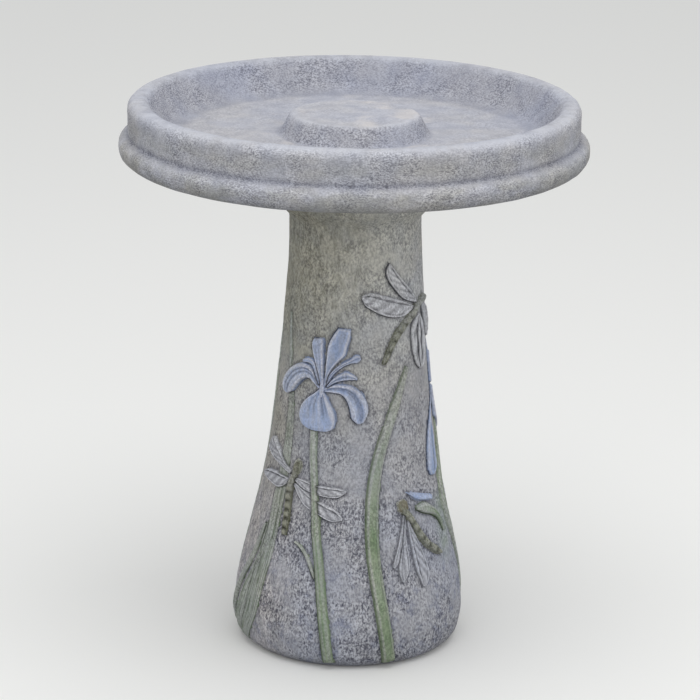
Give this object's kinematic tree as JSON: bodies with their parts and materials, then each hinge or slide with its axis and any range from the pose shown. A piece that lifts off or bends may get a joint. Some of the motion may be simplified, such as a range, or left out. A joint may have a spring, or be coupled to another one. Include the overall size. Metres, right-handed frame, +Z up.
{
  "type": "bird bath",
  "caption": "Cast-stone bird bath: a shallow round bowl with a beaded edge and central boss, seated on a spigot on a flared hollow pedestal with raised iris and dragonfly relief.",
  "frame": {"origin": "centre of the foot ring, on the ground", "axes": "+Z up along the pedestal's axis; the large front flower faces -Y; +X is to the right seen from the front"},
  "size_m": [0.508, 0.508, 0.61],
  "materials": {
    "bowl_stone": "cast stone, matt, grey with a faint lavender wash and dark pits",
    "pedestal_stone": "cast stone, matt and pitted, warm grey with dark wash in the pits",
    "petal_stain": "cast stone, thin periwinkle stain, rubbed pale on the raised edges",
    "leaf_stain": "cast stone, thin sage green stain with pale streaks",
    "insect_stain": "cast stone, thin olive brown stain, darker between the segments",
    "wing_stone": "cast stone, unstained, dark wash between the raised veins"
  },
  "bodies": {
    "pedestal": {"pedestal": "pedestal_stone", "front_iris_falls": "petal_stain", "front_iris_standards": "petal_stain", "front_iris_arms": "petal_stain", "front_stem": "leaf_stain", "front_tendril": "leaf_stain", "front_leaf": "leaf_stain", "left_leaves": "leaf_stain", "left_edge_leaf": "leaf_stain", "left_dragonfly_body": "insect_stain", "left_dragonfly_wings": "wing_stone", "upper_dragonfly_body": "insect_stain", "upper_dragonfly_wings": "wing_stone", "lower_dragonfly_body": "insect_stain", "lower_dragonfly_wings": "wing_stone", "side_iris_falls": "petal_stain", "side_iris_standards": "petal_stain", "side_stem": "leaf_stain", "side_bud_petals": "petal_stain", "side_bud_sheath": "leaf_stain", "back_iris_falls": "petal_stain", "back_iris_standards": "petal_stain", "back_iris_arms": "petal_stain", "back_stem": "leaf_stain", "back_leaves": "leaf_stain", "back_dragonfly_body": "insect_stain", "back_dragonfly_wings": "wing_stone"},
    "bowl": {"bowl": "bowl_stone"}
  },
  "joints": [
    {"name": "bowl_lift", "type": "slide", "parent": "pedestal", "child": "bowl", "axis": [0, 0, 1], "range_m": [0, 0.08]}
  ]
}
